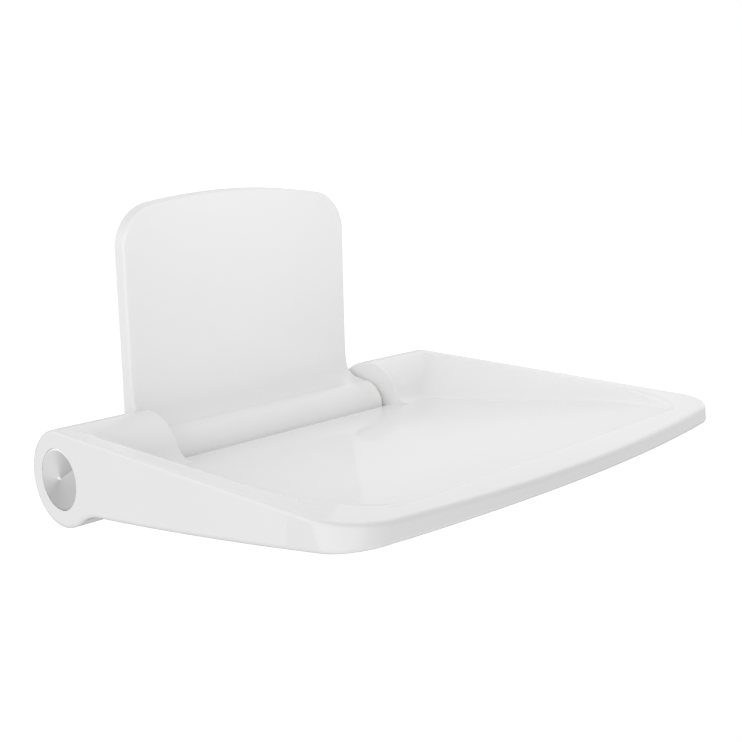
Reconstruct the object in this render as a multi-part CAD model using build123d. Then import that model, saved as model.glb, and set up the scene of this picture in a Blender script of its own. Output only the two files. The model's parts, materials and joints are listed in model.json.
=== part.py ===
from build123d import *
from math import cos, radians, sin, sqrt, tan
import os

# A wall-mounted shower seat with a short backrest. The seat folds up about a
# horizontal hinge barrel. Everything is modelled about the hinge axis, which
# runs along X: the front is -Y, the wall is +Y and up is +Z. The parts are
# moved to the row's frame, whose origin is on the wall, when they are written.

# Driving dimensions, in millimetres and degrees.
BARREL_LENGTH = 410.0        # over both hinge knuckles
KNUCKLE_R = 36.5             # also the height of the seat rim over the axis
WALL_Y = 41.0                # hinge axis to wall
SEAT_DEPTH = 320.5           # hinge axis to the middle of the front edge
FRONT_BOW = 20.0             # how far the front edge falls back at x = 200
SIDE_FLARE = 0.016           # how far the sides spread per millimetre forward
BACK_TOP_Z = 198.7           # top of the backrest over the axis
BACK_HALF_WIDTH = 120.0
BOLT_SPACING_X = 160.0       # wall screw holes
BOLT_SPACING_Z = 100.0
BOLT_CENTRE_Z = 105.0        # middle of the wall screws over the axis

# Seat shell.
SIDE_X = BARREL_LENGTH / 2
UNDER_REAR_Z = -23.98        # the underside is a shallow parabola in y
UNDER_SLOPE = 0.1145
UNDER_CURVE = 0.00012
CORNER_R_LOW = 26.0          # plan radius of the front corners, low and high
CORNER_R_TOP = 38.0
CORNER_BREAK_Z = 15.0
EDGE_R = 3.0
WALL = 4.0                   # moulded wall thickness
PAN_REAR_Z = 2.2             # pan height at PAN_REAR_D in front of the axis
PAN_REAR_D = 25.0
PAN_FRONT_D = 292.0          # where the pan reaches the rim height
RIM_INNER_X = 193.5
RIM_SLOPE = 40.0             # the dish's side slopes, from the horizontal
DISH_FRONT_D = 296.0
DISH_CORNER_R = 60.0
DISH_FILLET = 26.0
KNUCKLE_BLEND = 18.0
UNDER_BLEND = 55.0           # hollow curve from the barrel to the underside
PAN_EDGE_R = 9.0             # the pan's rear edge, over the middle barrel
RIM_BREAK = 20.0             # slope of the narrow bevel inside the rim
RIM_BREAK_OUT = 0.9
NOTCH_X = 122.4              # inner faces of the knuckles
NOTCH_R = 23.5               # clears the middle barrel
WRAP_Y = -8.0                # the seat wraps the middle barrel as far as this
COVER_START_D = 42.0
COVER_T = 3.0
BOSS_R = 5.0

# Middle barrel and backrest.
MID_R = 21.0
SKIN = 3.5
BACK_CORNER_R = 36.0
BACK_TOP_R = 597.0
BACK_FOOT = (                # side view of the foot: y, z and the way to the inside
    (0.0, 21.0, 0.0, -1.0),
    (9.5, 22.3, 0.2, -0.98),
    (17.3, 24.9, 0.5, -0.87),
    (21.6, 28.6, 0.85, -0.53),
    (24.2, 34.8, 0.96, -0.28),
    (25.6, 43.0, 0.99, -0.12),
    (26.3, 56.0, 1.0, -0.04),
    (27.0, 80.0, 1.0, 0.0),
)
BACK_LOW_Y = 37.6            # back of the foot, close to the wall
PARTING_Z = -6.0             # joint between the backrest and the rear cover
COVER_LOW_Z = -24.0
TAB_Y = 26.0                 # screws that hold the backrest and the rear cover

# Hinge.
SHAFT_R = 11.0
RUN_GAP = 0.05               # radial running clearance on the shaft
THREAD_R = 8.0
BUSH_R = 14.0
COLLAR_X = (134.0, 144.0)
EYE_X = (146.2, 158.0)
EYE_R = 28.0
DOG_DEG = (150.0, 180.0)     # stop dog on the arm, seat down
WINDOW_DEG = (57.0, 187.0)   # window in the stop collar that the dog moves in
WINDOW_R = 18.5
COLLAR_R = 29.0
KNUCKLE_BORE = 32.5
CAP_R = 23.0
CAP_SEAT = 5.0               # thickness of the knuckle's end wall
PLATE_X = (160.7, 164.7)
SPRING_X = (164.8, 170.2)
NUT_X = (170.3, 181.0)
SHAFT_END = 186.0

# Wall bracket.
PLATE_T = 4.0
PLATE_HALF = 100.0
PLATE_Z = (-19.0, 176.0)
CHEEK_X = (55.0, 103.0)      # middle planes of the cheeks
CHEEK_T = 6.0
CHEEK_R = 16.0
BOLT_R = 4.5

# Seat frame.
ARM_X = (146.2, 158.0)
ARM_H = 9.0
ARM_START = (20.0, -9.0)     # distance in front of the axis, height
ARM_END = (255.0, 21.0)
CROSS_D = 225.0
ARM_SCREW_D = (100.0, 185.0)
COVER_SCREWS = ((178.0, 66.0), (182.0, 160.0), (120.0, 283.0), (70.0, 62.0))

HINGE_TO_ROW = Pos(0, -WALL_Y, -BOLT_CENTRE_Z)


def under_z(d):
    """Height of the underside at a distance d in front of the axis."""
    return UNDER_REAR_Z + UNDER_SLOPE * d + UNDER_CURVE * d * d


def pan_z(d):
    """Height of the pan at a distance d in front of the axis."""
    slope = (KNUCKLE_R - PAN_REAR_Z) / (PAN_FRONT_D - PAN_REAR_D)
    return PAN_REAR_Z + slope * (d - PAN_REAR_D)


def arm_z(d):
    """Height of the arm's middle line at a distance d in front of the axis."""
    slope = (ARM_END[1] - ARM_START[1]) / (ARM_END[0] - ARM_START[0])
    return ARM_START[1] + slope * (d - ARM_START[0])


def across(face, x0, x1):
    """Extrude a face drawn as (y, z) from x0 to x1."""
    return extrude(Plane.YZ.offset(x0) * face, amount=x1 - x0)


def disc(radius, x0, x1):
    """A cylinder about the hinge axis from x0 to x1."""
    return across(Circle(radius), min(x0, x1), max(x0, x1))


def ring(outer, inner, x0, x1):
    return disc(outer, x0, x1) - disc(inner, x0 - 1, x1 + 1)


def block(x0, x1, y0, y1, z0, z1):
    size = (x1 - x0, y1 - y0, z1 - z0)
    return Pos((x0 + x1) / 2, (y0 + y1) / 2, (z0 + z1) / 2) * Box(*size)


def post(x, y, radius, z0, z1):
    return Pos(x, y, (z0 + z1) / 2) * Cylinder(radius, z1 - z0)


def sector(inner, outer, start, end, x0, x1):
    """A ring sector about the axis. Angles run from the wall over the top."""
    reach = outer * 3
    mid = radians((start + end) / 2)
    wedge = make_face(Polyline(
        (0, 0),
        (reach * cos(radians(start)), reach * sin(radians(start))),
        (reach * 1.5 * cos(mid), reach * 1.5 * sin(mid)),
        (reach * cos(radians(end)), reach * sin(radians(end))),
        close=True,
    ))
    return across((Circle(outer) - Circle(inner)) & wedge, x0, x1)


def mirrored(shape):
    return mirror(shape, about=Plane.YZ)


def largest(shape):
    return max(shape.solids(), key=lambda solid: solid.volume)


# Seat shell ---------------------------------------------------------------

def plan(inset, corner_r):
    """The seat's outline from above, open to the rear beyond the barrel."""
    rear = 60.0
    wide = SIDE_X + SIDE_FLARE * 340 - inset
    narrow = SIDE_X - SIDE_FLARE * rear - inset
    depth = SEAT_DEPTH - inset
    fall = FRONT_BOW * (wide / 200) ** 2
    corner = (wide, -depth + fall)
    outline = make_face([
        Line((narrow, rear), corner),
        ThreePointArc(corner, (0, -depth), (-wide, -depth + fall)),
        Line((-wide, -depth + fall), (-narrow, rear)),
        Line((-narrow, rear), (narrow, rear)),
    ])
    return fillet(outline.vertices().filter_by(lambda v: v.Y < -200), corner_r)


def seat_profile():
    """Side view of the seat: the barrel circle and the wedge in front of it."""
    front = 345.0
    wedge = make_face([
        Line((0, KNUCKLE_R), (-front, KNUCKLE_R)),
        Line((-front, KNUCKLE_R), (-front, under_z(front))),
        ThreePointArc((-front, under_z(front)), (-180, under_z(180)), (-15, under_z(15))),
        Line((-15, under_z(15)), (0, 0)),
        Line((0, 0), (0, KNUCKLE_R)),
    ])
    side = Circle(KNUCKLE_R) + wedge
    notch = side.vertices().filter_by(lambda v: -35 < v.X < -20 and v.Y < -15)
    return fillet(notch, UNDER_BLEND)


def seat_block():
    """The seat's outer form before its edges are rounded."""
    low = extrude(Pos(0, 0, -50) * plan(0, CORNER_R_LOW), amount=50 + CORNER_BREAK_Z)
    high = loft([
        Pos(0, 0, CORNER_BREAK_Z) * plan(0, CORNER_R_LOW),
        Pos(0, 0, KNUCKLE_R + 4) * plan(0, CORNER_R_TOP + 2),
    ], ruled=True)
    return (low + high) & across(seat_profile(), -230, 230)


def over_pan(reach, half, drop):
    """Everything above the pan's plane, or above a plane drop below it."""
    side = make_face(Polyline(
        (-reach, pan_z(reach) - drop), (0, pan_z(0) - drop), (0, 90), (-reach, 90), close=True))
    return across(side, -half, half)


def dish(grow):
    """The space over the pan. grow moves its walls outwards, into the shell."""
    top = 70.0
    rear = 250.0
    spread = (top - KNUCKLE_R) / tan(radians(RIM_SLOPE)) + grow / sin(radians(RIM_SLOPE))
    half = RIM_INNER_X + spread
    front = DISH_FRONT_D + spread
    mouth = Pos(0, (rear - front) / 2, top) * RectangleRounded(
        2 * half, front + rear, DISH_CORNER_R + spread)
    cone = extrude(mouth, amount=-top - 20, taper=90 - RIM_SLOPE)
    space = cone & over_pan(400, 260, grow)
    floor = space.faces().sort_by(Axis.Z)[0]
    ring_edges = floor.edges().filter_by(lambda e: e.center().Y < -1)
    space = fillet(ring_edges, DISH_FILLET + grow) - disc(KNUCKLE_R - grow, -260, 260)
    return fillet(barrel_edges(space, KNUCKLE_R - grow), KNUCKLE_BLEND + grow)


def rim_break():
    """A narrow bevel along the rim's inner edge."""
    rise = 1.5
    spread = RIM_BREAK_OUT + rise / tan(radians(RIM_BREAK))
    rear = 250.0
    front = DISH_FRONT_D + spread
    mouth = Pos(0, (rear - front) / 2, KNUCKLE_R + rise) * RectangleRounded(
        2 * (RIM_INNER_X + spread), front + rear, DISH_CORNER_R + spread)
    cone = extrude(mouth, amount=-rise - 1, taper=90 - RIM_BREAK)
    return (cone & over_pan(400, 260, 0)) - disc(KNUCKLE_R, -260, 260)


def barrel_edges(space, radius):
    """The edges where the dish meets the front of the barrel."""
    found = []
    for edge in space.edges():
        points = [edge @ 0, edge @ 0.5, edge @ 1]
        on_barrel = all(abs(sqrt(p.Y ** 2 + p.Z ** 2) - radius) < 0.01 for p in points)
        if on_barrel and points[1].Z < radius - 0.5:
            found.append(edge)
    return found


def middle_notch():
    """The room between the knuckles for the middle barrel and the backrest."""
    room = over_pan(60, NOTCH_X, 0) + disc(NOTCH_R, -NOTCH_X, NOTCH_X)
    return room + block(-NOTCH_X, NOTCH_X, WRAP_Y, 90, -90, 90)


def seat_hollow():
    """The space inside the seat shell, open underneath for the base cover."""
    wedge = make_face(Polyline(
        (-20, KNUCKLE_R - WALL), (-400, KNUCKLE_R - WALL), (-400, -90), (-COVER_START_D, -90),
        (-COVER_START_D, under_z(COVER_START_D) + WALL), (-20, under_z(COVER_START_D) + WALL),
        close=True))
    outline = extrude(Pos(0, 0, -100) * plan(WALL, CORNER_R_LOW - WALL), amount=200)
    room = across(wedge, -230, 230) & outline
    room += disc(KNUCKLE_BORE, CAP_SEAT - SIDE_X, SIDE_X - CAP_SEAT)
    room -= dish(SKIN)
    wall_x = NOTCH_X + WALL
    room -= disc(NOTCH_R + WALL, -wall_x, wall_x)
    room -= block(-wall_x, wall_x, WRAP_Y - WALL, 90, -90, 90)
    room -= over_pan(60, wall_x, SKIN)
    for x in (-wall_x, NOTCH_X):
        room -= block(x, x + WALL, -NOTCH_R - WALL, 90, -90, 90)
    for x, d, low, _ in boss_places():
        room -= post(x, -d, BOSS_R, low, 60)
    return room


def boss_places():
    """The shell's screw bosses: place, lower end and the top of the pilot hole."""
    places = []
    for side in (-1, 1):
        for x, d in COVER_SCREWS:
            low = under_z(d + BOSS_R) + COVER_T + 0.1
            places.append((side * x, d, low, low + 8))
        for d in ARM_SCREW_D:
            middle = side * (ARM_X[0] + ARM_X[1]) / 2
            places.append((middle, d, arm_z(d) + ARM_H / 2 + 0.8, pan_z(d) - 1.5))
    return places


def rounded(body):
    """Round the outer edges of the seat block, all the way round."""
    outer = []
    for edge in body.edges():
        start, middle, end = edge @ 0, edge @ 0.5, edge @ 1
        upright = abs(start.Z - end.Z) > 5 and abs(start.Y - end.Y) < 12
        seam = upright and edge.length < 30
        crosswise = abs(middle.X) < 1 and middle.Y > -100
        if not seam and not crosswise:
            outer.append(edge)
    return fillet(outer, EDGE_R)


def pan_rear_edge(body):
    """The long edge where the pan ends over the middle barrel."""
    return body.edges().filter_by(Axis.X).sort_by_distance((0, -NOTCH_R, pan_z(NOTCH_R)))[0]


def seat_shell():
    body = rounded(seat_block()) - dish(0) - rim_break() - middle_notch()
    shell = fillet(pan_rear_edge(body), PAN_EDGE_R) - seat_hollow()
    for side in (-1, 1):
        shell -= disc(CAP_R + 0.2, side * (SIDE_X - CAP_SEAT - 1), side * (SIDE_X + 1))
        shell -= disc(14.5, side * (NOTCH_X - 1), side * (NOTCH_X + WALL + 1))
    for x, d, low, top in boss_places():
        shell -= post(x, -d, 1.7, low - 1, top)
    return largest(shell)


def seat_base_cover():
    """The panel that closes the seat from below, with recesses for its screws."""
    front = 345.0
    slab = make_face([
        ThreePointArc((-front, under_z(front)), (-180, under_z(180)),
                      (-COVER_START_D - 0.3, under_z(COVER_START_D))),
        Line((-COVER_START_D - 0.3, under_z(COVER_START_D)),
             (-COVER_START_D - 0.3, under_z(COVER_START_D) + COVER_T)),
        ThreePointArc((-COVER_START_D - 0.3, under_z(COVER_START_D) + COVER_T),
                      (-180, under_z(180) + COVER_T), (-front, under_z(front) + COVER_T)),
        Line((-front, under_z(front) + COVER_T), (-front, under_z(front))),
    ])
    inset = WALL + 0.3
    outline = extrude(Pos(0, 0, -100) * plan(inset, CORNER_R_LOW - inset), amount=200)
    cover = across(slab, -230, 230) & outline
    for x, d in cover_screw_places():
        bottom = under_z(d)
        cover -= post(x, -d, 4.3, bottom - 5, bottom + 1.4)
        cover -= post(x, -d, 2.0, bottom - 5, bottom + 9)
    return largest(cover)


def cover_screw_places():
    return [(side * x, d) for side in (-1, 1) for x, d in COVER_SCREWS]


def screw(x, y, z, head_r, head_h, shank_r, length):
    """An upright screw put in from below. z is the height of its head's top."""
    body = post(x, y, head_r, z - head_h, z) + post(x, y, shank_r, z - 0.5, z + length)
    body = fillet(body.edges().sort_by(Axis.Z)[0], head_h * 0.3)
    socket = extrude(Pos(x, y, z - head_h) * RegularPolygon(1.5, 6), amount=head_h * 0.6)
    return body - socket


def base_cover_screws():
    return [screw(x, -d, under_z(d) + 1.4, 4.0, 1.3, 1.6, 8.5) for x, d in cover_screw_places()]


# Seat frame ---------------------------------------------------------------

def seat_arm():
    """One steel arm, on the +X side: hinge eye, stop dog and bar."""
    d0, z0 = ARM_START
    d1, z1 = ARM_END
    half = ARM_H / 2
    bar = make_face(Polyline(
        (-d0, z0 - half), (-d0, z0 + half), (-d1, z1 + half), (-d1, z1 - half), close=True))
    bar = fillet(bar.vertices().filter_by(lambda v: v.X < -d1 + 1), 3.0)
    arm = across(bar, *ARM_X) + disc(EYE_R, *EYE_X)
    arm += sector(WINDOW_R + 1, EYE_R, *DOG_DEG, COLLAR_X[0] + 0.5, EYE_X[0] + 1)
    arm -= disc(BUSH_R + RUN_GAP, COLLAR_X[0] - 5, EYE_X[1] + 5)
    middle = (ARM_X[0] + ARM_X[1]) / 2
    for d in ARM_SCREW_D:
        arm -= post(middle, -d, 2.1, arm_z(d) - 20, arm_z(d) + 20)
    bolt = Plane.YZ.offset(ARM_X[0] - 5) * Pos(-CROSS_D, arm_z(CROSS_D)) * Circle(2.1)
    return largest(arm - extrude(bolt, amount=30))


def arm_screws():
    middle = (ARM_X[0] + ARM_X[1]) / 2
    found = []
    for side in (-1, 1):
        for d in ARM_SCREW_D:
            seat_z = arm_z(d) - ARM_H / 2 - 0.5
            length = pan_z(d) - 1.8 - seat_z
            found.append(screw(side * middle, -d, seat_z, 3.8, 1.5, 1.6, length))
    return found


def cross_bar():
    z = arm_z(CROSS_D)
    reach = ARM_X[0] - 0.1
    bar = block(-reach, reach, -CROSS_D - 7, -CROSS_D + 7, z - 4, z + 4)
    bar = fillet(bar.edges().filter_by(Axis.X), 1.5)
    bore = Plane.YZ.offset(-200) * Pos(-CROSS_D, z) * Circle(1.9)
    ends = extrude(bore, amount=400) - block(-reach + 14, reach - 14, -400, 0, -50, 80)
    return largest(bar - ends)


def cross_bar_screws():
    found = []
    for side in (-1, 1):
        seat_x = ARM_X[1] + 0.1
        place = Plane.YZ * Pos(-CROSS_D, arm_z(CROSS_D))
        head = extrude(Plane.YZ.offset(seat_x) * Pos(-CROSS_D, arm_z(CROSS_D)) * Circle(3.6),
                       amount=2.4)
        shank = extrude(Plane.YZ.offset(seat_x - 22) * Pos(-CROSS_D, arm_z(CROSS_D)) * Circle(1.8),
                        amount=22.5)
        both = head + shank
        found.append(both if side > 0 else mirrored(both))
    return found


# Hinge --------------------------------------------------------------------

def hinge_shaft():
    """Steel shaft through the cheeks and the knuckles, threaded at both ends."""
    shaft = disc(SHAFT_R, -PLATE_X[1], PLATE_X[1]) + disc(THREAD_R, -SHAFT_END, SHAFT_END)
    shaft = chamfer(shaft.edges().group_by(Axis.X)[0] + shaft.edges().group_by(Axis.X)[-1], 1.0)
    for x in (CHEEK_X[1], (COLLAR_X[0] + COLLAR_X[1]) / 2):
        for side in (-1, 1):
            shaft -= post(side * x, 0, 2.55, -40, 40)
    return shaft


def shaft_pins():
    return [post(side * CHEEK_X[1], 0, 2.5, -15.5, 15.5) for side in (-1, 1)]


def collar_pins():
    x = (COLLAR_X[0] + COLLAR_X[1]) / 2
    return [post(side * x, 0, 2.5, -COLLAR_R + 0.5, SHAFT_R - 0.5) for side in (-1, 1)]


def stop_collar():
    """Pinned to the shaft. The arm's dog travels in its window, seat down to up."""
    collar = ring(COLLAR_R, SHAFT_R + RUN_GAP, *COLLAR_X)
    collar -= sector(WINDOW_R, COLLAR_R + 5, *WINDOW_DEG, COLLAR_X[0] - 1, COLLAR_X[1] + 1)
    x = (COLLAR_X[0] + COLLAR_X[1]) / 2
    return largest(collar - post(x, 0, 2.55, -COLLAR_R - 5, -SHAFT_R + 1))


def stop_buffer():
    return sector(WINDOW_R + 0.5, COLLAR_R - 0.5, DOG_DEG[1] + 0.6, WINDOW_DEG[1] - 0.1,
                  COLLAR_X[0] + 0.3, COLLAR_X[1] - 0.3)


def fold_buffer():
    return sector(WINDOW_R + 0.5, COLLAR_R - 0.5, WINDOW_DEG[0] + 0.1, DOG_DEG[0] - 90.5,
                  COLLAR_X[0] + 0.3, COLLAR_X[1] - 0.3)


def hinge_bush():
    bush = ring(BUSH_R, SHAFT_R + RUN_GAP, COLLAR_X[1] + 0.1, EYE_X[1])
    return bush + ring(18.0, SHAFT_R + RUN_GAP, COLLAR_X[1] + 0.1, EYE_X[0] - 0.1)


def hinge_spacer():
    """Holds the middle barrel and the stop collar apart, through the knuckle's wall."""
    flange = ring(18.0, SHAFT_R + RUN_GAP, BACK_HALF_WIDTH + 0.2, NOTCH_X - 0.2)
    return flange + ring(13.5, SHAFT_R + RUN_GAP, BACK_HALF_WIDTH + 0.2, COLLAR_X[0] - 0.1)


def friction_washer():
    return ring(24.0, SHAFT_R + 0.6, EYE_X[1] + 0.1, PLATE_X[0] - 0.1)


def pressure_plate():
    return ring(24.0, SHAFT_R + RUN_GAP, *PLATE_X)


def disc_springs():
    """Two cone washers, back to back."""
    inner, outer, rise, thick = THREAD_R + 0.4, 17.0, 1.0, 1.5
    x0, x1 = SPRING_X
    first = Polyline((x0, outer), (x0 + rise, inner), (x0 + rise + thick, inner),
                     (x0 + thick, outer), close=True)
    second = Polyline((x1, outer), (x1 - rise, inner), (x1 - rise - thick, inner),
                      (x1 - thick, outer), close=True)
    return [revolve(make_face(line), Axis.X) for line in (first, second)]


def lock_nut():
    x0, x1 = NUT_X
    hexagon = Plane.YZ.offset(x0) * RegularPolygon(14.0, 6, major_radius=False)
    nut = extrude(hexagon, amount=x1 - x0) & revolve(make_face(Polyline(
        (x0, 0), (x0, 15.0), (x0 + 1.2, 16.4), (x1 - 1.2, 16.4), (x1, 15.0), (x1, 0),
        close=True)), Axis.X)
    return nut - disc(THREAD_R + RUN_GAP, x0 - 1, x1 + 1)


def end_cap():
    """Spun steel cap: a shallow hollow cone with a skirt that snaps into the knuckle."""
    face_x = SIDE_X - 0.2
    deep = 0.3
    thick = 1.2
    section = Polyline(
        (face_x - deep, 0), (face_x, CAP_R - 1.2), (face_x - 0.4, CAP_R),
        (SIDE_X - CAP_SEAT - 0.6, CAP_R), (SIDE_X - CAP_SEAT - 1.0, CAP_R + 0.7),
        (SIDE_X - CAP_SEAT - 2.5, CAP_R + 0.7), (SIDE_X - CAP_SEAT - 3.5, CAP_R - 0.2),
        (SIDE_X - CAP_SEAT - 3.5, CAP_R - 1.4), (face_x - 1.6, CAP_R - 1.4),
        (face_x - deep - thick, 0), close=True)
    return revolve(make_face(section), Axis.X)


# Wall side ----------------------------------------------------------------

def wall_bracket():
    """Steel plate on the wall, four cheeks with shaft eyes and two screw tabs."""
    z0, z1 = PLATE_Z
    face = Pos(0, (z0 + z1) / 2) * RectangleRounded(2 * PLATE_HALF, z1 - z0, 12.0)
    holes = [Pos(x, z) * Circle(BOLT_R)
             for x in (-BOLT_SPACING_X / 2, BOLT_SPACING_X / 2)
             for z in (BOLT_CENTRE_Z - BOLT_SPACING_Z / 2, BOLT_CENTRE_Z + BOLT_SPACING_Z / 2)]
    wall = Plane(origin=(0, WALL_Y, 0), x_dir=(1, 0, 0), z_dir=(0, -1, 0))
    bracket = extrude(wall * (face - holes), amount=PLATE_T)
    cheek = Circle(CHEEK_R) + Pos(19, 0) * Rectangle(38, 2 * CHEEK_R)
    for x in (-CHEEK_X[1], -CHEEK_X[0], CHEEK_X[0], CHEEK_X[1]):
        bracket += across(cheek, x - CHEEK_T / 2, x + CHEEK_T / 2)
    for x0, x1 in ((-CHEEK_X[1], -CHEEK_X[0]), (CHEEK_X[0], CHEEK_X[1])):
        bracket += block(x0, x1, 18, WALL_Y - PLATE_T + 1, -12, -8)
    bracket -= disc(SHAFT_R + RUN_GAP, -150, 150)
    for side in (-1, 1):
        x = side * CHEEK_X[1]
        bracket -= post(x, 0, 2.55, -40, 40)
        bracket -= post(x, TAB_Y, 1.7, -CHEEK_R - 1, -CHEEK_R + 9)
        bracket -= post(side * (CHEEK_X[0] + CHEEK_X[1]) / 2, TAB_Y, 2.1, -20, 0)
    return largest(bracket)


def back_front(shift):
    """Side view of the backrest's front, from the barrel's top to the panel's top."""
    points = [(y + shift * out_y, z + shift * out_z) for y, z, out_y, out_z in BACK_FOOT]
    foot = Spline(*points, tangents=((1, 0.02), (0.02, 1)))
    panel = ThreePointArc((27.0 + shift, 80), (28.6 + shift, 130), (29.4 + shift, 215))
    return foot, panel


def back_outline(inset):
    """The backrest from the front: straight sides and an arched top."""
    half = BACK_HALF_WIDTH - inset
    fall = BACK_TOP_R - sqrt(BACK_TOP_R ** 2 - half ** 2)
    top = BACK_TOP_Z - inset
    outline = make_face([
        Line((-half, -60), (-half, top - fall)),
        ThreePointArc((-half, top - fall), (0, top), (half, top - fall)),
        Line((half, top - fall), (half, -60)),
        Line((half, -60), (-half, -60)),
    ])
    corners = outline.vertices().filter_by(lambda v: v.Y > 100)
    wall = Plane(origin=(0, WALL_Y + 40, 0), x_dir=(1, 0, 0), z_dir=(0, -1, 0))
    return extrude(wall * fillet(corners, BACK_CORNER_R - inset), amount=150)


def back_block():
    """The backrest as a solid: panel, foot and the front of the middle barrel."""
    foot, panel = back_front(0)
    low_y = -sqrt(MID_R ** 2 - PARTING_Z ** 2)
    back_y = WALL_Y - 0.3
    turn = radians(150)
    side = make_face([
        ThreePointArc((low_y, PARTING_Z), (MID_R * cos(turn), MID_R * sin(turn)), (0, MID_R)),
        foot,
        panel,
        Line((29.4, 215), (back_y, 215)),
        Line((back_y, 215), (back_y, 165)),
        Line((back_y, 165), (BACK_LOW_Y, 45)),
        Line((BACK_LOW_Y, 45), (BACK_LOW_Y, PARTING_Z)),
        Line((BACK_LOW_Y, PARTING_Z), (low_y, PARTING_Z)),
    ])
    return across(side, -150, 150) & back_outline(0)


def back_hollow():
    foot, panel = back_front(SKIN)
    radius = MID_R - SKIN
    low_y = -sqrt(radius ** 2 - PARTING_Z ** 2)
    turn = radians(150)
    side = make_face([
        ThreePointArc((low_y, PARTING_Z), (radius * cos(turn), radius * sin(turn)), (0, radius)),
        foot,
        panel,
        Line((29.4 + SKIN, 215), (90, 215)),
        Line((90, 215), (90, -60)),
        Line((90, -60), (low_y, -60)),
        Line((low_y, -60), (low_y, PARTING_Z)),
    ])
    return across(side, -150, 150) & back_outline(SKIN)


def backrest_shell():
    body = back_block()
    front = []
    for edge in body.edges():
        middle = edge @ 0.5
        at_edge = abs(middle.X) > BACK_HALF_WIDTH - 0.5 or middle.Z > 150
        if at_edge and middle.Y < 34 and middle.Z > PARTING_Z + 0.5:
            front.append(edge)
    shell = fillet(front, 2.5) - back_hollow()
    for side in (-1, 1):
        x = side * (CHEEK_X[0] + CHEEK_X[1]) / 2
        lug = post(x, TAB_Y, 5.0, -7.5, 60) & body
        shell += lug
        shell -= post(x, TAB_Y, 1.6, -10, 10)
        hook = block(side * 50 - 10, side * 50 + 10, 30.0, WALL_Y - 1, PLATE_Z[1] + 0.5,
                     PLATE_Z[1] + 3.5)
        shell += hook & body
    slot = SHAFT_R + 0.6
    shell -= disc(slot, -150, 150) + block(-150, 150, -slot, slot, -30, 0)
    return largest(shell)


def rear_cover_side(shrink, back):
    """Side view of the rear cover, from under the barrel to the wall."""
    radius = MID_R - shrink
    top = PARTING_Z - 0.3
    start = -sqrt(radius ** 2 - top ** 2)
    low = COVER_LOW_Z + shrink
    turn = radians(225)
    return make_face([
        ThreePointArc((start, top), (radius * cos(turn), radius * sin(turn)), (0, -radius)),
        Spline((0, -radius), (13, low + 0.6), (24, low), tangents=((1, 0), (1, 0))),
        Line((24, low), (back, low)),
        Line((back, low), (back, top)),
        Line((back, top), (start, top)),
    ])


def rear_cover():
    """Closes the middle barrel and the foot of the backrest from below."""
    half = BACK_HALF_WIDTH - 0.2
    cover = across(rear_cover_side(0, BACK_LOW_Y), -half, half)
    ends = []
    for edge in cover.edges():
        middle = edge @ 0.5
        if abs(middle.X) > half - 0.1 and middle.Z < PARTING_Z - 1 and middle.Y < BACK_LOW_Y - 1:
            ends.append(edge)
    inside = half - COVER_T
    cover = fillet(ends, 2.0) - across(rear_cover_side(COVER_T, 90), -inside, inside)
    cover -= disc(SHAFT_R + 0.6, -150, 150)
    for x in (-CHEEK_X[1], CHEEK_X[1]):
        cover += post(x, TAB_Y, 4.0, COVER_LOW_Z + 1, -CHEEK_R - 0.1)
        cover -= post(x, TAB_Y, 2.0, -40, 0)
        cover -= post(x, TAB_Y, 3.9, -40, COVER_LOW_Z + 2.0)
    return largest(cover)


def rear_cover_screws():
    head_z = COVER_LOW_Z + 2.0
    return [screw(side * CHEEK_X[1], TAB_Y, head_z, 3.6, 1.8, 1.6, 14.5) for side in (-1, 1)]


def backrest_screws():
    x = (CHEEK_X[0] + CHEEK_X[1]) / 2
    return [screw(side * x, TAB_Y, -12.1, 3.6, 2.0, 1.5, 12.0) for side in (-1, 1)]


SINGLES = {
    "wall_bracket": wall_bracket,
    "hinge_shaft": hinge_shaft,
    "backrest_shell": backrest_shell,
    "rear_cover": rear_cover,
    "seat_shell": seat_shell,
    "seat_base_cover": seat_base_cover,
    "cross_bar": cross_bar,
}
GROUPS = {
    "shaft_pins": shaft_pins,
    "collar_pins": collar_pins,
    "rear_cover_screws": rear_cover_screws,
    "backrest_screws": backrest_screws,
    "base_cover_screws": base_cover_screws,
    "arm_screws": arm_screws,
    "cross_bar_screws": cross_bar_screws,
}
PAIRS = {
    "seat_arm": seat_arm,
    "stop_collar": stop_collar,
    "stop_buffer": stop_buffer,
    "fold_buffer": fold_buffer,
    "hinge_bush": hinge_bush,
    "hinge_spacer": hinge_spacer,
    "friction_washer": friction_washer,
    "pressure_plate": pressure_plate,
    "disc_springs": disc_springs,
    "lock_nut": lock_nut,
    "end_cap": end_cap,
}


def write(name, solids):
    export_step(Compound(children=[HINGE_TO_ROW * solid for solid in solids]),
                "parts/" + name + ".step")


def as_list(made):
    return made if isinstance(made, list) else [made]


if __name__ == "__main__":
    os.makedirs("parts", exist_ok=True)
    for name, make in SINGLES.items():
        write(name, [make()])
    for name, make in GROUPS.items():
        write(name, make())
    for name, make in PAIRS.items():
        right = as_list(make())
        write(name + "_right", right)
        write(name + "_left", [mirrored(solid) for solid in right])
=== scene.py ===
import json
import math

import bmesh
import bpy
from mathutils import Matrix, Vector


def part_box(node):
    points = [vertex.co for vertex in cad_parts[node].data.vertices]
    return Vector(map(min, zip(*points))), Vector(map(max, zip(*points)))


# The wall-mounted shower seat. Lengths are metres in the row's frame: the
# origin is on the wall, the front is -Y and up is +Z.

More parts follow.
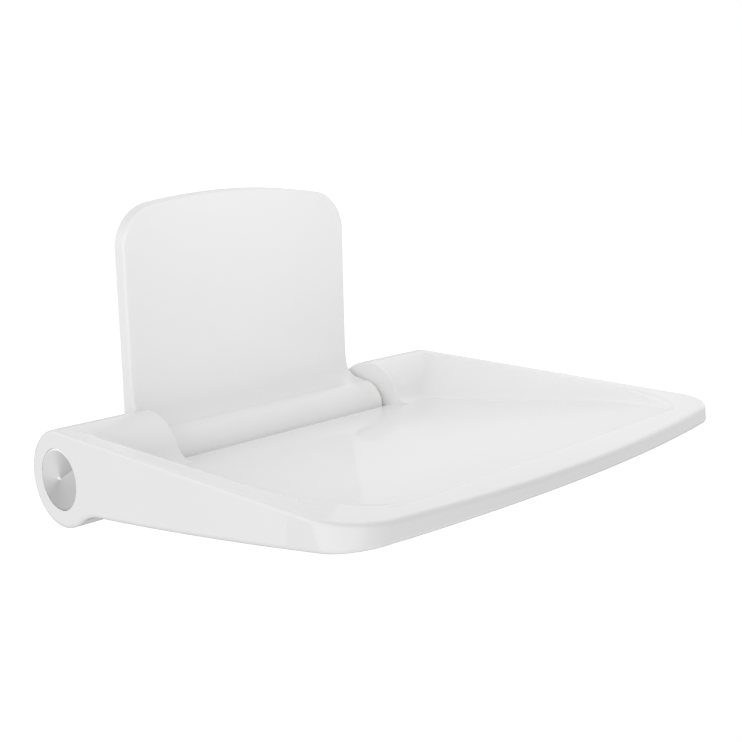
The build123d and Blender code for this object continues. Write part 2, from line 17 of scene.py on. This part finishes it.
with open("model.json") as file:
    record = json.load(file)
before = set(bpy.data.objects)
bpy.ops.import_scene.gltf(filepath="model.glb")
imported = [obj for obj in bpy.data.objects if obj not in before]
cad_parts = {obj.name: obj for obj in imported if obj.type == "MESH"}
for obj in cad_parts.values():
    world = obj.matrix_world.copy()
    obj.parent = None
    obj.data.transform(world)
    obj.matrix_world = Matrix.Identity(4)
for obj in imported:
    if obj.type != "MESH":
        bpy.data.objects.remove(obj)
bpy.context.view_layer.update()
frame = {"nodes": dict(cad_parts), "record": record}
nodes = frame["nodes"]


PLASTIC_IOR = 1.49
COATING_IOR = 1.5


# Node helpers -------------------------------------------------------------

def add_node(tree, kind, **settings):
    node = tree.nodes.new(kind)
    for key, value in settings.items():
        setattr(node, key, value)
    return node


class Shader:
    """A material being built, with short ways to add and join nodes."""

    def __init__(self, name):
        self.material = bpy.data.materials.new(name)
        self.material.use_nodes = True
        self.tree = self.material.node_tree
        self.tree.nodes.clear()
        self.bsdf = self.add("ShaderNodeBsdfPrincipled")
        out = self.add("ShaderNodeOutputMaterial")
        self.join(self.bsdf, "BSDF", out, "Surface")

    def add(self, kind, **settings):
        return add_node(self.tree, kind, **settings)

    def join(self, source, output, target, socket):
        self.tree.links.new(source.outputs[output], target.inputs[socket])

    def set(self, **values):
        for key, value in values.items():
            self.bsdf.inputs[key.replace("_", " ")].default_value = value

    def point(self):
        return self.add("ShaderNodeTexCoord"), "Object"

    def noise(self, scale, detail=3.0, rough=0.5, stretch=(1, 1, 1)):
        source, output = self.point()
        mapping = self.add("ShaderNodeMapping")
        mapping.inputs["Scale"].default_value = stretch
        self.join(source, output, mapping, "Vector")
        noise = self.add("ShaderNodeTexNoise")
        noise.inputs["Scale"].default_value = scale
        noise.inputs["Detail"].default_value = detail
        noise.inputs["Roughness"].default_value = rough
        self.join(mapping, "Vector", noise, "Vector")
        return noise

    def spread(self, source, output, low, high, start=0.0, end=1.0):
        """Maps a 0 to 1 value to the range low to high."""
        node = self.add("ShaderNodeMapRange")
        node.inputs["From Min"].default_value = start
        node.inputs["From Max"].default_value = end
        node.inputs["To Min"].default_value = low
        node.inputs["To Max"].default_value = high
        self.join(source, output, node, "Value")
        return node

    def ramp(self, source, output, stops):
        node = self.add("ShaderNodeValToRGB")
        elements = node.color_ramp.elements
        while len(elements) < len(stops):
            elements.new(0.5)
        for element, (position, colour) in zip(elements, stops):
            element.position = position
            element.color = (*colour, 1.0)
        self.join(source, output, node, "Fac")
        return node

    def bump(self, layers):
        """layers is a list of (node, output, strength, distance)."""
        last = None
        for node, output, strength, distance in layers:
            bump = self.add("ShaderNodeBump")
            bump.inputs["Strength"].default_value = strength
            bump.inputs["Distance"].default_value = distance
            self.join(node, output, bump, "Height")
            if last is not None:
                self.join(last, "Normal", bump, "Normal")
            last = bump
        self.join(last, "Normal", self.bsdf, "Normal")


def moulded_plastic(name, light, dark, rough_low, rough_high, grain):
    """Injection-moulded plastic: slow colour drift, fine grain, soft ripple."""
    shader = Shader(name)
    drift = shader.noise(7.0, 2.0)
    colour = shader.ramp(drift, "Fac", [(0.3, dark), (0.7, light)])
    shader.join(colour, "Color", shader.bsdf, "Base Color")
    patches = shader.noise(22.0, 4.0, 0.6)
    rough = shader.spread(patches, "Fac", rough_low, rough_high, 0.3, 0.7)
    shader.join(rough, "Result", shader.bsdf, "Roughness")
    fine = shader.noise(1900.0, 2.0)
    ripple = shader.noise(34.0, 1.0)
    shader.bump([(ripple, "Fac", 0.05, 0.0006), (fine, "Fac", grain, 0.00005)])
    shader.set(IOR=PLASTIC_IOR)
    return shader.material


def turned_steel(name, light, dark, rough):
    """Machined or rolled steel with fine lines and faint blotches."""
    shader = Shader(name)
    lines = shader.noise(900.0, 2.0, 0.6, (6, 1, 1))
    blotch = shader.noise(60.0, 4.0, 0.6)
    colour = shader.ramp(blotch, "Fac", [(0.3, dark), (0.7, light)])
    shader.join(colour, "Color", shader.bsdf, "Base Color")
    spread = shader.spread(lines, "Fac", rough - 0.08, rough + 0.08, 0.3, 0.7)
    shader.join(spread, "Result", shader.bsdf, "Roughness")
    shader.bump([(lines, "Fac", 0.15, 0.00005)])
    shader.set(Metallic=1.0)
    return shader.material


def powder_coat(name, light, dark):
    """Satin powder coat with its fine orange peel."""
    shader = Shader(name)
    drift = shader.noise(18.0, 3.0)
    colour = shader.ramp(drift, "Fac", [(0.3, dark), (0.7, light)])
    shader.join(colour, "Color", shader.bsdf, "Base Color")
    peel = shader.noise(700.0, 1.0)
    rough = shader.spread(peel, "Fac", 0.32, 0.46, 0.3, 0.7)
    shader.join(rough, "Result", shader.bsdf, "Roughness")
    shader.bump([(peel, "Fac", 0.25, 0.0001)])
    shader.set(IOR=COATING_IOR, Coat_Weight=0.2, Coat_Roughness=0.2)
    return shader.material


def matt_rubber(name, light, dark, rough):
    """Rubber or friction lining, with dust and a fine broken surface."""
    shader = Shader(name)
    dust = shader.noise(240.0, 5.0, 0.65)
    colour = shader.ramp(dust, "Fac", [(0.35, dark), (0.75, light)])
    shader.join(colour, "Color", shader.bsdf, "Base Color")
    spread = shader.spread(dust, "Fac", rough - 0.08, rough + 0.06, 0.3, 0.7)
    shader.join(spread, "Result", shader.bsdf, "Roughness")
    shader.bump([(dust, "Fac", 0.3, 0.0001)])
    return shader.material


# Painted sheen and painted shade of the spun steel round one turn, starting from the sharp
# step in the fan, painted into the base colour.
PAINTED_SHEEN_START = math.radians(32.0)
PAINTED_SHEEN_FAN = [
    (0.0, 0.72), (0.20, 1.0), (0.41, 1.0), (0.55, 0.75),
    (0.75, 0.75), (0.88, 0.80), (0.995, 0.95), (1.0, 0.72),
]

STEEL_BLUE = 1.005           # steel is very slightly blue
GROOVE_SHADE = (0.96, 0.96, 0.96)
RINGS_PER_METRE = 2600.0
MIX_A, MIX_B, MIX_RESULT = 6, 7, 2      # the Mix node's colour sockets


def spun_steel(name, centre, forward):
    """Spun sheet steel: fine rings, and a fan of light and shade painted into the base
    colour as a painted sheen.

    forward is 1 or -1, so that the painted sheen turns the same way seen from either side.
    """
    shader = Shader(name)
    source, output = shader.point()
    offset = shader.add("ShaderNodeVectorMath", operation="SUBTRACT")
    offset.inputs[1].default_value = centre
    shader.join(source, output, offset, 0)
    split = shader.add("ShaderNodeSeparateXYZ")
    shader.join(offset, "Vector", split, "Vector")
    across = shader.add("ShaderNodeMath", operation="MULTIPLY")
    across.inputs[1].default_value = -forward
    shader.join(split, "Y", across, 0)
    angle = shader.add("ShaderNodeMath", operation="ARCTAN2")
    shader.join(split, "Z", angle, 0)
    shader.join(across, "Value", angle, 1)
    turn = shader.spread(angle, "Value", 0.0, 1.0, PAINTED_SHEEN_START, PAINTED_SHEEN_START + 2 * math.pi)
    turn.clamp = False
    wrapped = shader.add("ShaderNodeMath", operation="FRACT")
    shader.join(turn, "Result", wrapped, 0)
    stops = [(place, (grey, grey, grey * STEEL_BLUE)) for place, grey in PAINTED_SHEEN_FAN]
    # Painted sheen and painted shade: base colour made lighter or darker by the angle round
    # the centre.
    painted_sheen = shader.ramp(wrapped, "Value", stops)

    flat = shader.add("ShaderNodeCombineXYZ")
    shader.join(split, "Y", flat, "X")
    shader.join(split, "Z", flat, "Y")
    radius = shader.add("ShaderNodeVectorMath", operation="LENGTH")
    shader.join(flat, "Vector", radius, 0)
    rings = shader.add("ShaderNodeTexNoise", noise_dimensions="1D")
    rings.inputs["Scale"].default_value = RINGS_PER_METRE
    rings.inputs["Detail"].default_value = 3.0
    shader.join(radius, "Value", rings, "W")
    shade = shader.add("ShaderNodeMix", data_type="RGBA", blend_type="MULTIPLY")
    shade.inputs["Factor"].default_value = 1.0
    grooves = shader.ramp(rings, "Fac", [(0.3, GROOVE_SHADE), (0.7, (1.0, 1.0, 1.0))])
    shader.join(painted_sheen, "Color", shade, MIX_A)
    shader.join(grooves, "Color", shade, MIX_B)
    shader.join(shade, MIX_RESULT, shader.bsdf, "Base Color")

    tangent = shader.add("ShaderNodeTangent", direction_type="RADIAL", axis="X")
    shader.join(tangent, "Tangent", shader.bsdf, "Tangent")
    rough = shader.spread(rings, "Fac", 0.34, 0.46, 0.3, 0.7)
    shader.join(rough, "Result", shader.bsdf, "Roughness")
    shader.bump([(rings, "Fac", 0.08, 0.00002)])
    shader.set(Metallic=1.0, Anisotropic=0.5)
    return shader.material


# Materials ----------------------------------------------------------------

WHITE_LIGHT = (0.90, 0.90, 0.90)
WHITE_DARK = (0.885, 0.885, 0.886)

gloss_white = moulded_plastic(
    "gloss_white", WHITE_LIGHT, WHITE_DARK, 0.02, 0.05, 0.01)
satin_white = moulded_plastic(
    "satin_white", (0.76, 0.76, 0.755), (0.72, 0.72, 0.72), 0.38, 0.5, 0.35)
machined = turned_steel("machined_steel", (0.58, 0.58, 0.60), (0.46, 0.46, 0.48), 0.32)
zinc = turned_steel("screw_steel", (0.66, 0.66, 0.67), (0.52, 0.52, 0.53), 0.28)
coated = powder_coat("coated_steel", (0.62, 0.63, 0.64), (0.55, 0.56, 0.57))
rubber = matt_rubber("black_rubber", (0.05, 0.05, 0.05), (0.02, 0.02, 0.02), 0.78)
acetal = moulded_plastic(
    "acetal", (0.72, 0.70, 0.62), (0.64, 0.62, 0.55), 0.4, 0.52, 0.3)
friction = matt_rubber("friction_lining", (0.16, 0.13, 0.10), (0.07, 0.06, 0.05), 0.7)

LOOKS = {
    "white_plastic": gloss_white,
    "satin_plastic": satin_white,
    "steel": machined,
    "coated_steel": coated,
    "screws": zinc,
    "rubber": rubber,
    "bearing_plastic": acetal,
    "friction_disc": friction,
}


def paint(node, material):
    node.data.materials.clear()
    node.data.materials.append(material)


def box_centre(name):
    low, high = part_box(name)
    return (low + high) / 2


for entry in frame["record"]["subparts"]:
    name, slot = entry["node"], entry["material_slot"]
    if slot == "spun_steel":
        forward = 1 if box_centre(name).x < 0 else -1
        paint(nodes[name], spun_steel("spun_" + name, box_centre(name), forward))
    else:
        paint(nodes[name], LOOKS[slot])


# Studio -------------------------------------------------------------------

FLOOR_Z = -0.60
FLOOR_HALF = 30.0
FLOOR_GREY = 0.96
FLOOR_GLOW = 0.35


def make_floor():
    mesh = bpy.data.meshes.new("studio_floor")
    shape = bmesh.new()
    bmesh.ops.create_grid(shape, x_segments=1, y_segments=1, size=FLOOR_HALF)
    bmesh.ops.translate(shape, verts=shape.verts, vec=(0, 0, FLOOR_Z))
    shape.to_mesh(mesh)
    shape.free()
    floor = bpy.data.objects.new("studio_floor", mesh)
    bpy.context.scene.collection.objects.link(floor)
    shader = Shader("studio_floor")
    shader.set(Base_Color=(FLOOR_GREY, FLOOR_GREY, FLOOR_GREY, 1.0), Roughness=0.9)
    shader.bsdf.inputs["Specular IOR Level"].default_value = 0.0
    shader.set(Emission_Color=WHITE, Emission_Strength=FLOOR_GLOW)
    mesh.materials.append(shader.material)
    shader.material.cycles.emission_sampling = "NONE"
    # The sky lights the object from below, so the floor is only seen, not reflected.
    floor.visible_diffuse = False
    floor.visible_glossy = False


# Soft lights in the sky: compass direction in degrees (0 is +X, 90 is +Y),
# elevation, tightness and strength. The strengths of the first seven, and
# FILL_LIGHT and PANEL_LAMP_WATTS, are a least-squares fit's result, rounded.
# The strengths of the last four were set one by one.
SOFT_LIGHTS = [
    (45, 50, 6.0, 0.54),
    (180, 15, 10.0, 0.90),
    (-135, 15, 10.0, 1.49),
    (0, 15, 10.0, 1.31),
    (45, 15, 10.0, 0.39),
    (90, 15, 10.0, 0.60),
    (135, 15, 10.0, 0.95),
    (180, -35, 5.0, 0.62),
    (-90, -35, 5.0, 0.50),
    (0, -90, 3.0, 0.35),
    (-25, -20, 8.0, 0.35),
]
WHITE = (1.0, 1.0, 1.0, 1.0)
FILL_LIGHT = 0.350
BACKDROP = 1.0                # brightness of the sky as the camera sees it
PANEL_LAMP_SIZE = (0.40, 0.20)
PANEL_LAMP_WATTS = 0.32
PANEL_LAMP_PLACE = Vector((0.0, -0.29, 0.20))
PANEL_LAMP_TARGET = Vector((0.0, -0.01, 0.03))


def make_sky():
    world = bpy.data.worlds.new("studio")
    bpy.context.scene.world = world
    world.use_nodes = True
    tree = world.node_tree
    tree.nodes.clear()

    where = add_node(tree, "ShaderNodeTexCoord")
    total = None
    for compass, elevation, tightness, strength in SOFT_LIGHTS:
        around, up = math.radians(compass), math.radians(elevation)
        dot = add_node(tree, "ShaderNodeVectorMath", operation="DOT_PRODUCT")
        dot.inputs[1].default_value = (
            math.cos(around) * math.cos(up), math.sin(around) * math.cos(up), math.sin(up))
        tree.links.new(where.outputs["Generated"], dot.inputs[0])
        clip = add_node(tree, "ShaderNodeMath", operation="MAXIMUM")
        clip.inputs[1].default_value = 0.0
        tree.links.new(dot.outputs["Value"], clip.inputs[0])
        power = add_node(tree, "ShaderNodeMath", operation="POWER")
        power.inputs[1].default_value = tightness
        tree.links.new(clip.outputs["Value"], power.inputs[0])
        lit = add_node(tree, "ShaderNodeMath", operation="MULTIPLY_ADD")
        lit.inputs[1].default_value = strength
        lit.inputs[2].default_value = FILL_LIGHT
        tree.links.new(power.outputs["Value"], lit.inputs[0])
        if total is not None:
            tree.links.new(total.outputs["Value"], lit.inputs[2])
        total = lit
    sky = add_node(tree, "ShaderNodeBackground")
    sky.inputs["Color"].default_value = WHITE
    tree.links.new(total.outputs["Value"], sky.inputs["Strength"])
    plain = add_node(tree, "ShaderNodeBackground")
    plain.inputs["Color"].default_value = WHITE
    plain.inputs["Strength"].default_value = BACKDROP
    path = add_node(tree, "ShaderNodeLightPath")
    mix = add_node(tree, "ShaderNodeMixShader")
    tree.links.new(path.outputs["Is Camera Ray"], mix.inputs["Fac"])
    tree.links.new(sky.outputs["Background"], mix.inputs[1])
    tree.links.new(plain.outputs["Background"], mix.inputs[2])
    out = add_node(tree, "ShaderNodeOutputWorld")
    tree.links.new(mix.outputs["Shader"], out.inputs["Surface"])


def make_panel_lamp():
    """A soft lamp over the seat's front that lights the backrest."""
    data = bpy.data.lights.new("panel_lamp", "AREA")
    data.shape = "RECTANGLE"
    data.size, data.size_y = PANEL_LAMP_SIZE
    data.energy = PANEL_LAMP_WATTS
    lamp = bpy.data.objects.new("panel_lamp", data)
    lamp.location = PANEL_LAMP_PLACE
    aim = PANEL_LAMP_TARGET - PANEL_LAMP_PLACE
    lamp.rotation_euler = aim.to_track_quat("-Z", "Y").to_euler()
    lamp.visible_camera = False
    lamp.visible_glossy = False
    bpy.context.scene.collection.objects.link(lamp)


# The viewing angle: 12 degrees down, from the seat's front left.
CAMERA_PLACE = (-0.64436, -0.76295, 0.15357)
CAMERA_DOWN = 12.32
CAMERA_TURN = -46.861
LENS_MM = 56.89
SENSOR_MM = 36.0


def make_camera():
    data = bpy.data.cameras.new("camera")
    data.sensor_width = SENSOR_MM
    data.lens = LENS_MM
    camera = bpy.data.objects.new("camera", data)
    camera.location = CAMERA_PLACE
    camera.rotation_euler = (math.radians(90 - CAMERA_DOWN), 0.0, math.radians(CAMERA_TURN))
    bpy.context.scene.collection.objects.link(camera)
    bpy.context.scene.camera = camera


make_floor()
make_sky()
make_panel_lamp()
make_camera()
bpy.context.scene.view_settings.view_transform = "Standard"
